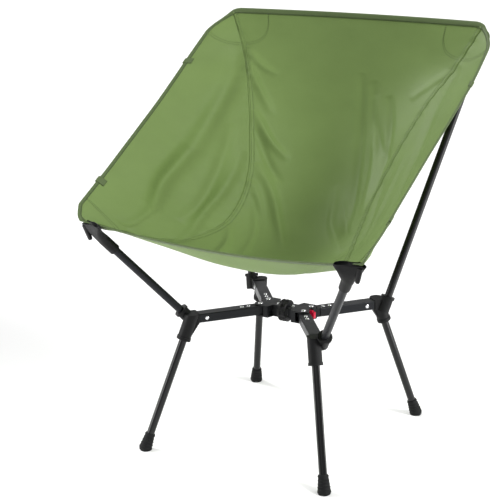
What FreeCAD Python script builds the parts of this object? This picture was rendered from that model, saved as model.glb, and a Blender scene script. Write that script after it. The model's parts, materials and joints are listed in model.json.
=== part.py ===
"""Low folding camp chair: a four-arm hub, pull-out legs, raked poles and a hung fabric sling.

The chair faces -Y, +X is the sitter's left, +Z is up, and all sizes are millimetres.
Every corner is worked out for the +X side and mirrored in the plane x = 0.
"""
import FreeCAD, Part
import math
import os

Vector = FreeCAD.Vector
UP = Vector(0, 0, 1)
ALONG_X = Vector(1, 0, 0)
ALONG_Y = Vector(0, 1, 0)

# ---- driving dimensions -------------------------------------------------------------------
HUB_Y = 6.0                 # the hub's centre, front to back
ARM_HEIGHT = 217.0          # height of the arms' centre line over the floor
ARM_ANGLE = 51.0            # angle of an open arm from the X axis
PIVOT_X = 41.0              # pivot pin from the hub's centre, sideways
PIVOT_Y = 13.0              # pivot pin from the hub's centre, front to back
ARM_WIDTH = 20.0            # rectangular arm tube
ARM_DEPTH = 15.0
ARM_WALL = 1.5
TUBE_START = 13.0           # arm tube, measured from its pivot
TUBE_END = 110.0
FIT = 0.05                  # radial running clearance of pins and slip joints
SIDE_GAP = 0.3              # clearance between faces that slide past each other

TUBE_RADIUS = 6.5           # legs and poles
TUBE_WALL = 1.2
LEG_REACH = 124.0           # leg axis from the pivot, along the arm, at arm height
LEG_OFFSET = 5.5            # leg axis to the outer side of the arm's centre line
LEG_TILT = {"front": 21.4, "back": 19.6}
LEG_SOCKET_RADIUS = 11.0
LEG_SOCKET_BELOW = 36.0     # socket mouth below the arm's centre line, along the leg
LEG_SOCKET_ABOVE = 12.0
LEG_BORE_DEPTH = 38.0
LEG_SEAT_GAP = 0.3

POLE_REACH = 136.0          # pole axis from the pivot, along the arm, at the socket's mouth
POLE_OFFSET = 9.5           # pole axis to the inner side of the arm's centre line
POLE_MOUTH_HEIGHT = 230.0
POLE_SOCKET_RADIUS = 10.2
POLE_SOCKET_LENGTH = 27.0
POLE_BORE_DEPTH = 23.0
FRONT_POLE_TOP = Vector(217.8, -194.2, 360.8)
BACK_POLE_TOP = Vector(237.0, 246.0, 651.0)

FOOT_LENGTH = 30.0
FOOT_TOP_RADIUS = 8.6
FOOT_BOTTOM_RADIUS = 10.8
FOOT_SOLE = 6.0             # rubber under the end of the leg tube

PLATE_THICKNESS = 2.2       # folded hub plates
KNOB_RADIUS = 19.0
KNOB_WIDTH = 15.0
SPINDLE_RADIUS = 7.0
END_BLOCK_INNER = 9.2
END_BLOCK_OUTER = 18.0
HEEL_RADIUS = 9.0
PIN_RADIUS = 2.5
RIVET_RADIUS = 1.9
RIVET_HEAD_RADIUS = 3.3
RIVET_HEAD_HEIGHT = 1.1

FABRIC = 1.2                # cloth thickness, coated and hemmed
SEAM_GAP = 0.4              # half the space left for the stitching between two panels
POCKET_CLOTH = 1.2
POCKET_CLEARANCE = 0.55     # cap to panel along the sewn sides

# The sling hangs between five lines, each given from the top of the back to the seat's front:
# the middle, the two panel seams and the two free edges.
CENTRE_LINE = [(262, 679), (251, 610), (231, 540), (199, 465), (146, 386),
               (70, 324), (-20, 302), (-108, 317), (-185, 367)]
SEAM_LINE = [(243, 241, 673), (204, 219, 608), (174, 183, 556), (146, 142, 491), (123, 98, 420),
             (118, 50, 369), (129, -8, 342), (166, -100, 344), (249, -211, 392)]
FREE_EDGE = [(266.5, 198, 645), (268, 142, 607), (266.5, 92, 576), (264, 36, 543), (262, -20, 512),
             (261, -70, 484), (260, -120, 456), (260, -166, 431), (258, -212, 408)]
SIDE_BOW = 9.0              # how far a side panel bellies out between seam and free edge
BACK_POCKET_DEPTH = 0.095   # share of the sling's length covered by a back pocket
FRONT_PATCH_DEPTH = 0.05
POCKET_INNER_EDGE = 0.72    # where a corner pocket starts, as a share of middle to seam
HEEL_RIVETS = (21.0, 33.0)  # rivets of a heel, from the pivot along the arm
BRACKET_RIVET = 97.0        # rivet of a bracket, from the pivot along the arm
FERRULE_LENGTH = 60.0       # inner sleeve that joins the halves of a back pole
TIP_LENGTH = 16.0
HUB_RIVET_X = 13.6          # hub rivets from the middle, sideways
BUTTON_HALF_WIDTH = 3.3
BUTTON_HEIGHT = 11.0
BUTTON_STEM = 31.0          # inner end of the stem, from the middle
BUTTON_NOSE = 55.0          # outer end of the nose, from the middle
SPINDLE_GRIP = 8.5          # length of spindle held in an end block
POCKET_ROWS = 8
POCKET_COLUMNS = 12
BLADE_THICKNESS = 4.4
BLADE_HALF_WIDTH = 12.0
BLADE_TIP_HALF_WIDTH = 8.0
BLADE_TIP_DOWN = 0.975      # blade tip, as a share of the sling from top to front
BLADE_TIP_CLEARANCE = 6.2   # blade tip from the cloth
PATCH_ROWS = 4
PATCH_COLUMNS = 6
PATCH_OUTER_EDGE = 1.96     # where a front patch ends, 1 at the seam and 2 at the free edge
PATCH_SEAM_GAP = 0.02       # patch to seam, as a share
PATCH_CLEARANCE = 0.9       # patch to panel
PADDLE_SLEEVE_RADIUS = 8.7

SIDES = {"left": -1, "right": 1}
ENDS = {"front": -1, "back": 1}


# ---- small helpers ------------------------------------------------------------------------
def unit(vector):
    """The vector at length one."""
    return Vector(vector).normalize()


def cylinder(start, direction, length, radius):
    """A round bar from a point along a direction."""
    return Part.makeCylinder(radius, length, start, direction)


def centred_box(centre, along, size):
    """A box about its centre, its length along a level direction."""
    box = Part.makeBox(size[0], size[1], size[2], Vector(-size[0] / 2, -size[1] / 2, -size[2] / 2))
    turn = math.degrees(math.atan2(along.y, along.x))
    box.Placement = FreeCAD.Placement(centre, FreeCAD.Rotation(UP, turn))
    return box


def tube(start, direction, length, radius, wall):
    """A round tube, open at both ends."""
    return cylinder(start, direction, length, radius).cut(
        cylinder(start - direction, direction, length + 2, radius - wall))


def fuse(shapes):
    """One solid from several that overlap."""
    joined = shapes[0].fuse(shapes[1:])
    return joined.removeSplitter()


def revolved(profile, origin, axis):
    """A solid of revolution from (distance along the axis, radius) points."""
    points = [Vector(radius, 0, distance) for distance, radius in profile]
    points = [Vector(0, 0, profile[0][0])] + points + [Vector(0, 0, profile[-1][0])]
    face = Part.Face(Part.makePolygon(points + [points[0]]))
    solid = face.revolve(Vector(0, 0, 0), UP, 360)
    solid.Placement = FreeCAD.Placement(origin, FreeCAD.Rotation(UP, axis))
    return solid


def rivet(start, direction, grip):
    """A shank with a low domed head at each end; grip is what it clamps."""
    head = [(0, RIVET_HEAD_RADIUS), (RIVET_HEAD_HEIGHT * 0.5, RIVET_HEAD_RADIUS * 0.93),
            (RIVET_HEAD_HEIGHT, RIVET_HEAD_RADIUS * 0.6)]
    shank = cylinder(start, direction, grip, RIVET_RADIUS)
    near = revolved(head, start, direction * -1)
    far = revolved(head, start + direction * grip, direction)
    return fuse([shank, near, far])


def hole(start, direction, length, radius):
    """The space of a hole, run past both faces."""
    return cylinder(start - direction, direction, length + 2, radius)


def ellipse_wire(centre, normal, wide, half_width, half_depth):
    """An elliptical section across an axis, its long side along the direction wide."""
    across = unit(wide - normal * wide.dot(normal))
    curve = Part.Ellipse(centre + across * half_width,
                         centre + normal.cross(across) * half_depth, centre)
    return Part.Wire([curve.toShape()])


# ---- the lines that one corner is set out on ------------------------------------------------
class Corner:
    """Axes and points of one corner on the +X side; end is 'front' or 'back'."""

    def __init__(self, end):
        sign = ENDS[end]
        angle = math.radians(ARM_ANGLE)
        self.end = end
        self.sign = sign
        self.pivot = Vector(PIVOT_X, HUB_Y + sign * PIVOT_Y, ARM_HEIGHT)
        self.along = Vector(math.cos(angle), sign * math.sin(angle), 0)
        self.outer = Vector(-math.sin(angle), sign * math.cos(angle), 0)
        tilt = math.radians(LEG_TILT[end])
        self.leg_down = self.along * math.sin(tilt) - UP * math.cos(tilt)
        self.leg_top = self.at(LEG_REACH, LEG_OFFSET)
        self.leg_mouth = self.leg_top + self.leg_down * LEG_SOCKET_BELOW
        self.floor_point = self.leg_top + self.leg_down * (ARM_HEIGHT / math.cos(tilt))
        self.pole_mouth = self.at(POLE_REACH, -POLE_OFFSET)
        self.pole_mouth.z = POLE_MOUTH_HEIGHT
        self.pole_top = FRONT_POLE_TOP if end == "front" else BACK_POLE_TOP
        self.pole_up = unit(self.pole_top - self.pole_mouth)

    def at(self, reach, offset=0.0, height=0.0):
        """A point given along the arm, to its outer side, and over its centre line."""
        return self.pivot + self.along * reach + self.outer * offset + UP * height


# ---- arm, bracket, leg ----------------------------------------------------------------------


def arm_holes(corner):
    """Two upright rivet holes by the hub and one across the arm by its bracket."""
    low = -ARM_DEPTH / 2
    holes = [hole(corner.at(reach, 0, low), UP, ARM_DEPTH, RIVET_RADIUS + FIT)
             for reach in HEEL_RIVETS]
    side = corner.at(BRACKET_RIVET, -ARM_WIDTH / 2)
    holes.append(hole(side, corner.outer, ARM_WIDTH, RIVET_RADIUS + FIT))
    return holes


def arm_tube(corner):
    """The rectangular aluminium tube with softened long edges."""
    length = TUBE_END - TUBE_START
    middle = corner.at((TUBE_START + TUBE_END) / 2)
    outside = centred_box(middle, corner.along, (length, ARM_WIDTH, ARM_DEPTH))
    long_edges = [edge for edge in outside.Edges if abs(edge.Length - length) < 1e-6]
    outside = outside.makeFillet(ARM_WALL * 0.9, long_edges)
    inside = centred_box(middle, corner.along,
                         (length + 2, ARM_WIDTH - 2 * ARM_WALL, ARM_DEPTH - 2 * ARM_WALL))
    return outside.cut(inside).cut(arm_holes(corner))


def arm_heel(corner):
    """The cast heel that turns on the pivot pin and plugs into the tube."""
    boss = cylinder(corner.at(0, 0, -ARM_DEPTH / 2), UP, ARM_DEPTH, HEEL_RADIUS)
    neck = centred_box(corner.at(TUBE_START / 2), corner.along,
                       (TUBE_START, 2 * HEEL_RADIUS - 1, ARM_DEPTH))
    plug_length = HEEL_RIVETS[1] + 8 - TUBE_START
    plug = centred_box(corner.at(TUBE_START + plug_length / 2 - 0.5), corner.along,
                       (plug_length + 1, ARM_WIDTH - 2 * ARM_WALL - 2 * FIT,
                        ARM_DEPTH - 2 * ARM_WALL - 2 * FIT))
    heel = fuse([boss, neck, plug])
    bore = hole(corner.at(0, 0, -ARM_DEPTH / 2), UP, ARM_DEPTH, PIN_RADIUS + FIT)
    return heel.cut([bore] + arm_holes(corner)[:2])


def arm_rivets(corner):
    """The arm's three rivets as one group."""
    group = [rivet(corner.at(reach, 0, -ARM_DEPTH / 2), UP, ARM_DEPTH) for reach in HEEL_RIVETS]
    group.append(rivet(corner.at(BRACKET_RIVET, -ARM_WIDTH / 2), corner.outer, ARM_WIDTH))
    return Part.Compound(group)


def bracket(corner):
    """The moulded corner: arm plug, leg socket with a gusset, and the cup for the pole."""
    block_length = 21.0
    block_height = ARM_DEPTH + 3.0
    block = centred_box(corner.at(TUBE_END + block_length / 2), corner.along,
                        (block_length, ARM_WIDTH + 3.0, block_height))
    upright = [edge for edge in block.Edges
               if abs(edge.Length - block_height) < 1e-6]
    block = block.makeFillet(2.5, upright)
    plug_start = BRACKET_RIVET - 12.0
    plug = centred_box(corner.at((plug_start + TUBE_END + 1) / 2), corner.along,
                       (TUBE_END + 1 - plug_start, ARM_WIDTH - 2 * ARM_WALL - 2 * FIT,
                        ARM_DEPTH - 2 * ARM_WALL - 2 * FIT))
    socket = cylinder(corner.leg_top - corner.leg_down * LEG_SOCKET_ABOVE, corner.leg_down,
                      LEG_SOCKET_ABOVE + LEG_SOCKET_BELOW, LEG_SOCKET_RADIUS)
    rim = cylinder(corner.leg_mouth - corner.leg_down * 5.0, corner.leg_down, 5.0,
                   LEG_SOCKET_RADIUS + 0.9)
    cup = cylinder(corner.pole_mouth - corner.pole_up * POLE_SOCKET_LENGTH, corner.pole_up,
                   POLE_SOCKET_LENGTH, POLE_SOCKET_RADIUS)
    lip = cylinder(corner.pole_mouth - corner.pole_up * 4.5, corner.pole_up, 4.5,
                   POLE_SOCKET_RADIUS + 1.6)
    above = centred_box(corner.at(LEG_REACH, LEG_OFFSET, block_height / 2 + 15), corner.along,
                        (60, 60, 30))
    arm_room = centred_box(corner.at(TUBE_END / 2), corner.along,
                           (TUBE_END, ARM_WIDTH + 0.2, ARM_DEPTH + 0.2))
    body = fuse([block, socket.cut(above), rim, cup, lip, gusset(corner)]).cut(arm_room)
    body = fuse([body, plug])
    leg_bore = hole(corner.leg_mouth, corner.leg_down * -1, LEG_BORE_DEPTH - 1,
                    TUBE_RADIUS + FIT)
    pole_bore = hole(corner.pole_mouth, corner.pole_up * -1, POLE_BORE_DEPTH - 1,
                     TUBE_RADIUS + FIT)
    side_hole = arm_holes(corner)[2]
    return body.cut([leg_bore, pole_bore, side_hole])


def gusset(corner):
    """A tapered web from the arm's underside down the inner side of the leg socket."""
    half = 5.0
    low = -ARM_DEPTH / 2 - 1.0
    mouth = corner.leg_mouth - corner.leg_down * 8.0
    reach = (mouth - corner.pivot).dot(corner.along)
    drop = mouth.z - ARM_HEIGHT
    outline = [(TUBE_END + 1, low), (TUBE_END + 20, low), (reach, drop),
               (reach - LEG_SOCKET_RADIUS, drop)]
    points = [corner.at(along, LEG_OFFSET - half, height) for along, height in outline]
    face = Part.Face(Part.makePolygon(points + [points[0]]))
    return face.extrude(corner.outer * (2 * half))


def leg(corner):
    """The leg tube, from the end of its socket bore down into the foot."""
    start = corner.leg_mouth - corner.leg_down * (LEG_BORE_DEPTH - LEG_SEAT_GAP)
    length = (corner.floor_point - start).Length - FOOT_SOLE
    return tube(start, corner.leg_down, length, TUBE_RADIUS, TUBE_WALL)


def foot(corner):
    """A ribbed rubber boot, cut level where it stands on the floor."""
    end = corner.floor_point + corner.leg_down * 3.0
    rib_count = 4
    profile = [(0, FOOT_BOTTOM_RADIUS * 0.55), (2.5, FOOT_BOTTOM_RADIUS * 0.86),
               (6.0, FOOT_BOTTOM_RADIUS)]
    rib_pitch = (FOOT_LENGTH - 9.0) / rib_count
    for rib in range(rib_count):
        start = 9.0 + rib * rib_pitch
        share = rib / rib_count
        radius = FOOT_BOTTOM_RADIUS + (FOOT_TOP_RADIUS - FOOT_BOTTOM_RADIUS) * share
        profile += [(start, radius), (start + 0.8, radius - 0.7),
                    (start + rib_pitch - 0.9, radius - 0.9), (start + rib_pitch - 0.1, radius - 0.2)]
    profile += [(FOOT_LENGTH + 1.0, FOOT_TOP_RADIUS), (FOOT_LENGTH + 3.0, FOOT_TOP_RADIUS - 0.8)]
    boot = revolved(profile, end, corner.leg_down * -1)
    seat = corner.floor_point - corner.leg_down * FOOT_SOLE
    boot = boot.cut(hole(seat - corner.leg_down, corner.leg_down * -1, 60, TUBE_RADIUS + FIT))
    below_floor = Part.makeBox(80, 80, 40, corner.floor_point - Vector(40, 40, 40))
    return boot.cut(below_floor)


# ---- poles --------------------------------------------------------------------------------


def pole_seat(corner):
    """Where a pole's lower end stands in its cup."""
    return corner.pole_mouth - corner.pole_up * (POLE_BORE_DEPTH - SIDE_GAP)


def front_pole(corner):
    """The short front pole, from its cup up into the corner paddle."""
    start = pole_seat(corner)
    length = (corner.pole_top - start).Length
    return tube(start, corner.pole_up, length, TUBE_RADIUS, TUBE_WALL)


def back_pole_parts(corner):
    """The two halves of a back pole, their inner ferrule, the elastic cord and the end cap."""
    start = pole_seat(corner)
    up = corner.pole_up
    total = (corner.pole_top - start).Length - TIP_LENGTH * 0.35
    half = total / 2
    bore = TUBE_RADIUS - TUBE_WALL
    lower = tube(start, up, half, TUBE_RADIUS, TUBE_WALL)
    upper = tube(start + up * half, up, total - half, TUBE_RADIUS, TUBE_WALL)
    ferrule = tube(start + up * (half - FERRULE_LENGTH / 2), up, FERRULE_LENGTH, bore - FIT, 1.0)
    cap_start = start + up * total
    dome = revolved([(0, TUBE_RADIUS + 0.6), (2.5, TUBE_RADIUS + 0.6), (4.6, TUBE_RADIUS - 1.0),
                     (TIP_LENGTH * 0.35, TUBE_RADIUS - 3.6)], cap_start, up)
    stem = cylinder(cap_start - up * 11.0, up, 11.0, bore - FIT)
    cap = fuse([dome, stem])
    cord = cylinder(start + up, up, total - 12.0 - 1.0, 1.5)
    return {"back_pole_lower": lower, "back_pole_upper": upper, "pole_ferrule": ferrule,
            "pole_cap": cap, "pole_cord": cord}


def paddle(corner):
    """The moulded end of the front pole: a sleeve, a flat blade for the seat's corner, a cord lug."""
    up = corner.pole_up
    top = corner.pole_top
    seam, outward = sling_frame(1.0, BLADE_TIP_DOWN)
    tip = seam + outward * (FABRIC + BLADE_TIP_CLEARANCE)
    reach = unit(tip - top)
    length = (tip - top).Length
    chord = sling_point(1.9, BLADE_TIP_DOWN) - sling_point(0.86, BLADE_TIP_DOWN)
    across = unit(chord - reach * chord.dot(reach))
    face = reach.cross(across)
    outline = [(-5.0, -7.5), (5.0, -BLADE_HALF_WIDTH), (length * 0.72, -BLADE_HALF_WIDTH),
               (length, -BLADE_TIP_HALF_WIDTH)]
    outline += [(ahead, -aside) for ahead, aside in reversed(outline)]
    rim = [top + reach * ahead + across * aside - face * (BLADE_THICKNESS / 2)
           for ahead, aside in outline]
    blade = Part.Face(Part.makePolygon(rim + [rim[0]])).extrude(face * BLADE_THICKNESS)
    blade = blade.makeFillet(1.4, blade.Edges)
    sleeve = cylinder(top - up * 24.0, up, 24.0, PADDLE_SLEEVE_RADIUS)
    crown = Part.makeSphere(PADDLE_SLEEVE_RADIUS, top)
    lug = cylinder(top - up * 21.0 + across * 11.5, up, 24.0, 4.0)
    bore = cylinder(top - up * 30.0, up, 30.0 + SIDE_GAP, TUBE_RADIUS + FIT)
    return fuse([sleeve, crown, blade, lug]).cut(bore)


# ---- hub ----------------------------------------------------------------------------------
def yoke(side):
    """One folded channel: two plates that hold a pair of arm heels, with a web and side cheeks."""
    half_gap = ARM_DEPTH / 2 + SIDE_GAP
    level = ARM_HEIGHT - half_gap - PLATE_THICKNESS
    pieces = []
    for bottom in (level, ARM_HEIGHT + half_gap):
        plate = Part.makeBox(PIVOT_X - END_BLOCK_INNER, 2 * 10.5, PLATE_THICKNESS,
                             Vector(END_BLOCK_INNER, HUB_Y - 10.5, bottom))
        ears = [cylinder(Vector(PIVOT_X, HUB_Y + sign * PIVOT_Y, bottom), UP, PLATE_THICKNESS,
                         HEEL_RADIUS + 0.8) for sign in (-1, 1)]
        ear_y = PIVOT_Y + HEEL_RADIUS + 0.8
        outline = [(22, -ear_y), (PIVOT_X, -ear_y), (PIVOT_X + 4, -8), (PIVOT_X + 4, 8),
                   (PIVOT_X, ear_y), (22, ear_y), (18, 10.5), (18, -10.5)]
        corners = [Vector(x, HUB_Y + y, bottom) for x, y in outline]
        middle = Part.Face(Part.makePolygon(corners + [corners[0]])).extrude(UP * PLATE_THICKNESS)
        pieces += [plate, middle] + ears
    height = 2 * half_gap + 1.0
    low = ARM_HEIGHT - half_gap - 0.5
    cheek_y = PIVOT_Y + HEEL_RADIUS + 0.8
    web = Part.makeBox(PLATE_THICKNESS, 2 * cheek_y, height,
                       Vector(END_BLOCK_OUTER + 4, HUB_Y - cheek_y, low))
    pieces.append(web)
    for sign in (-1, 1):
        edge = HUB_Y + sign * cheek_y - (PLATE_THICKNESS if sign > 0 else 0)
        pieces.append(Part.makeBox(8.5, PLATE_THICKNESS, height,
                                   Vector(END_BLOCK_OUTER + 4, edge, low)))
    body = fuse(pieces)
    full = 2 * (half_gap + PLATE_THICKNESS)
    cuts = [hole(Vector(PIVOT_X, HUB_Y + sign * PIVOT_Y, level), UP, full, PIN_RADIUS + FIT)
            for sign in (-1, 1)]
    cuts.append(hole(Vector(HUB_RIVET_X, HUB_Y, level), UP, full, RIVET_RADIUS + FIT))
    return mirrored(body.cut(cuts), side)


def end_block(side):
    """The square block that carries one end of the spindle between the yoke's plates."""
    length = END_BLOCK_OUTER + 4 - END_BLOCK_INNER
    block = Part.makeBox(length, 19.0, ARM_DEPTH + 2 * SIDE_GAP,
                         Vector(END_BLOCK_INNER, HUB_Y - 9.5, ARM_HEIGHT - ARM_DEPTH / 2 - SIDE_GAP))
    bore = hole(Vector(END_BLOCK_INNER, HUB_Y, ARM_HEIGHT), ALONG_X, SPINDLE_GRIP,
                SPINDLE_RADIUS + FIT)
    rivet_hole = hole(Vector(HUB_RIVET_X, HUB_Y, ARM_HEIGHT - 12), UP, 24, RIVET_RADIUS + FIT)
    return mirrored(block.cut([bore, rivet_hole]), side)


def spindle():
    """The round bar between the end blocks that the locking knob turns on."""
    half = END_BLOCK_INNER + SPINDLE_GRIP - 0.2
    bar = cylinder(Vector(-half, HUB_Y, ARM_HEIGHT), ALONG_X, 2 * half, SPINDLE_RADIUS)
    holes = [hole(Vector(sign * HUB_RIVET_X, HUB_Y, ARM_HEIGHT - 10), UP, 20, RIVET_RADIUS + FIT)
             for sign in (-1, 1)]
    return bar.cut(holes)


def lock_knob():
    """A lobed collar with a waist, free to turn on the spindle."""
    lobes = 8
    half = KNOB_WIDTH / 2
    profile = [(-half, KNOB_RADIUS - 2.5), (-half + 1.5, KNOB_RADIUS - 0.6),
               (-2.6, KNOB_RADIUS), (-1.6, KNOB_RADIUS - 1.8), (1.6, KNOB_RADIUS - 1.8),
               (2.6, KNOB_RADIUS), (half - 1.5, KNOB_RADIUS - 0.6), (half, KNOB_RADIUS - 2.5)]
    centre = Vector(0, HUB_Y, ARM_HEIGHT)
    body = revolved(profile, centre, ALONG_X)
    flutes = []
    for lobe in range(lobes):
        angle = 2 * math.pi * (lobe + 0.5) / lobes
        offset = Vector(0, math.cos(angle), math.sin(angle)) * (KNOB_RADIUS + 2.6)
        flutes.append(cylinder(centre + offset - ALONG_X * 20, ALONG_X, 40, 5.2))
    bore = cylinder(centre - ALONG_X * 20, ALONG_X, 40, SPINDLE_RADIUS + FIT)
    return body.cut(flutes + [bore])


def thrust_washers():
    """A washer on each side of the knob."""
    inner = KNOB_WIDTH / 2 + 0.3
    thickness = END_BLOCK_INNER - inner - 0.2
    rings = []
    for sign in (-1, 1):
        start = Vector(sign * inner, HUB_Y, ARM_HEIGHT)
        ring = cylinder(start, ALONG_X * sign, thickness, SPINDLE_RADIUS + 3.5)
        rings.append(ring.cut(hole(start, ALONG_X * sign, thickness, SPINDLE_RADIUS + FIT)))
    return Part.Compound(rings)


def pivot_pins():
    """Four shouldered pins, one for each arm heel."""
    half = ARM_DEPTH / 2 + SIDE_GAP + PLATE_THICKNESS
    pins = []
    for side in SIDES.values():
        for end in ENDS.values():
            foot_point = Vector(side * PIVOT_X, HUB_Y + end * PIVOT_Y, ARM_HEIGHT - half)
            shank = cylinder(foot_point, UP, 2 * half, PIN_RADIUS)
            head = [(0, 4.4), (0.7, 4.1), (1.3, 2.6)]
            pins.append(fuse([shank, revolved(head, foot_point, UP * -1),
                              revolved(head, foot_point + UP * (2 * half), UP)]))
    return Part.Compound(pins)


def hub_rivets():
    """The rivets that hold the end blocks between the plates."""
    half = ARM_DEPTH / 2 + SIDE_GAP + PLATE_THICKNESS
    return Part.Compound([rivet(Vector(side * HUB_RIVET_X, HUB_Y, ARM_HEIGHT - half), UP, 2 * half)
                          for side in SIDES.values()])


def release_button(side):
    """The push button between a pair of arms: a stem and a wider nose."""
    low = ARM_HEIGHT - BUTTON_HEIGHT / 2
    stem = Part.makeBox(BUTTON_NOSE - 4.0 - BUTTON_STEM, 2 * BUTTON_HALF_WIDTH - 2.0, ARM_DEPTH,
                        Vector(BUTTON_STEM, HUB_Y - BUTTON_HALF_WIDTH + 1.0,
                               ARM_HEIGHT - ARM_DEPTH / 2))
    nose = Part.makeBox(9.0, 2 * BUTTON_HALF_WIDTH, BUTTON_HEIGHT,
                        Vector(BUTTON_NOSE - 9.0, HUB_Y - BUTTON_HALF_WIDTH, low))
    nose = nose.makeFillet(1.0, nose.Edges)
    return mirrored(fuse([stem, nose]), side)


def button_spring(side):
    """The small coil spring behind a release button."""
    start = END_BLOCK_OUTER + 4 + PLATE_THICKNESS + 0.3
    wire = 0.8
    turns = 3.5
    length = BUTTON_STEM - start - 2 * wire - 0.3
    radius = 2.0
    path = Part.makeHelix(length / turns, length, radius)
    section = Part.Wire([Part.makeCircle(wire / 2, Vector(radius, 0, 0), ALONG_Y)])
    coil = Part.Wire(path).makePipeShell([section], True, True)
    coil.Placement = FreeCAD.Placement(Vector(start + wire, HUB_Y, ARM_HEIGHT),
                                       FreeCAD.Rotation(UP, ALONG_X))
    return mirrored(coil, side)


def mirrored(shape, side):
    """The shape as built for the +X side, or its mirror image for the other."""
    if side == "right":
        return shape
    return shape.mirror(Vector(0, 0, 0), ALONG_X)


# ---- sling --------------------------------------------------------------------------------
def through(points, share):
    """A smooth line through evenly shared points (Catmull-Rom), at a share of its length."""
    last = len(points) - 1
    position = min(max(share, 0.0), 1.0) * last
    index = min(int(position), last - 1)
    t = position - index
    inner = [Vector(*points[k]) for k in (index, index + 1)]
    before = Vector(*points[index - 1]) if index > 0 else inner[0] * 2 - inner[1]
    after = Vector(*points[index + 2]) if index + 2 <= last else inner[1] * 2 - inner[0]
    return (inner[0] * 2 + (inner[1] - before) * t
            + (before * 2 - inner[0] * 5 + inner[1] * 4 - after) * (t * t)
            + (inner[0] * 3 - before - inner[1] * 3 + after) * (t * t * t)) * 0.5


CENTRE_POINTS = [(0, y, z) for y, z in CENTRE_LINE]


def sling_point(across, down):
    """The sling's inner face: across is 0 in the middle, 1 on the seam, 2 on the free edge."""
    side = 1 if across >= 0 else -1
    share = abs(across)
    seam = through(SEAM_LINE, down)
    if share <= 1:
        centre = through(CENTRE_POINTS, down)
        rise = share ** 2
        point = centre + (seam - centre) * rise
        point.x = seam.x * share
    else:
        t = share - 1
        edge = through(FREE_EDGE, down)
        bow = SIDE_BOW * 4 * t * (1 - t) * math.sin(math.pi * down)
        point = seam + (edge - seam) * t + Vector(0.6, 0.25, -0.75) * bow
    point.x *= side
    return point


def sling_frame(across, down):
    """A point of the sling's inner face with the direction to its outer side."""
    step = 0.004
    low, high = (-2.0, 2.0) if abs(across) > 1 else (-1.0, 1.0)
    if across > 1:
        low = 1.0
    near = sling_point(max(low, across - step), down)
    far = sling_point(min(high, across + step), down)
    upper = sling_point(across, max(0.0, down - step))
    lower = sling_point(across, min(1.0, down + step))
    return sling_point(across, down), unit((far - near).cross(lower - upper))


def sheet(across_from, across_to, columns, rows):
    """A closed sheet of cloth from the back's top to the seat's front, on the sling's outer side."""
    inner = []
    outer = []
    for row in range(rows + 1):
        inner.append([])
        outer.append([])
        for column in range(columns + 1):
            across = across_from + (across_to - across_from) * column / columns
            point, outward = sling_frame(across, row / rows)
            inner[-1].append(point)
            outer[-1].append(point + outward * FABRIC)
    return closed_between(inner, outer)


def closed_between(inner, outer):
    """A solid between two grids of points, its rims ruled."""
    surfaces = []
    for grid in (inner, outer):
        surface = Part.BSplineSurface()
        surface.interpolate(grid)
        surfaces.append(surface.toShape())
    faces = [surfaces[0].Faces[0], surfaces[1].Faces[0]]
    for first, second in zip(faces[0].Edges, faces[1].Edges):
        faces.append(Part.makeRuledSurface(first, second))
    shell = Part.makeShell(faces)
    shell.sewShape()
    solid = Part.makeSolid(Part.Shell(shell.Faces))
    if solid.Volume < 0:
        solid.reverse()
    return solid


def seat_panel():
    """The one long panel of back and seat, from seam to seam."""
    inset = SEAM_GAP / 120.0
    return sheet(-1 + inset, 1 - inset, 20, 24)


def side_panel(side):
    """The lens-shaped panel between a seam and the free edge."""
    panel = sheet(1 + 0.012, 2.0, 8, 24)
    return mirrored(panel, side)


def on_outer_face(across, down):
    """A point just clear of the sling's outer face."""
    point, outward = sling_frame(across, down)
    return point + outward * (FABRIC + POCKET_CLEARANCE)


def arch(first, crown, last, count):
    """Points of a parabola from first to last that passes through crown."""
    share = (crown - first).Length / ((crown - first).Length + (crown - last).Length)
    pull = (crown - first * (1 - share) ** 2 - last * share ** 2) * (0.5 / (share * (1 - share)))
    shares = [step / count for step in range(count + 1)]
    return [first * (1 - t) ** 2 + pull * (2 * t * (1 - t)) + last * t ** 2 for t in shares]


def thickened(grid, thickness, outward):
    """A closed sheet from a grid of points, thickened to the side that outward points to."""
    rows, columns = len(grid), len(grid[0])
    outer = []
    for r in range(rows):
        outer.append([])
        for c in range(columns):
            along = grid[r][min(c + 1, columns - 1)] - grid[r][max(c - 1, 0)]
            down = grid[min(r + 1, rows - 1)][c] - grid[max(r - 1, 0)][c]
            normal = unit(along.cross(down))
            if normal.dot(outward) < 0:
                normal = normal * -1
            outer[-1].append(grid[r][c] + normal * thickness)
    return closed_between(grid, outer)


def smooth_step(share):
    """Rises from 0 to 1 with level ends."""
    share = min(max(share, 0.0), 1.0)
    return share * share * (3 - 2 * share)


def back_pocket(corner):
    """A cloth cap on the back's corner: arches over the pole's end, open at the bottom."""
    grid = []
    for row in range(POCKET_ROWS + 1):
        share = row / POCKET_ROWS
        down = BACK_POCKET_DEPTH * share
        seam, outward = sling_frame(1.0, down)
        crest = seam + outward * (FABRIC + 1.0)
        reach = (seam.z - corner.pole_mouth.z) / corner.pole_up.z
        axis = corner.pole_mouth + corner.pole_up * reach
        first = on_outer_face(POCKET_INNER_EDGE + 0.08 * share, down)
        last = on_outer_face(1.96, down)
        away = unit(axis - (first + last) * 0.5)
        over_pole = axis + away * (TUBE_RADIUS + 2.2)
        crown = crest + (over_pole - crest) * smooth_step(share / 0.3)
        grid.append(arch(first, crown, last, POCKET_COLUMNS))
    return thickened(grid, POCKET_CLOTH, ALONG_X + ALONG_Y)


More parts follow.
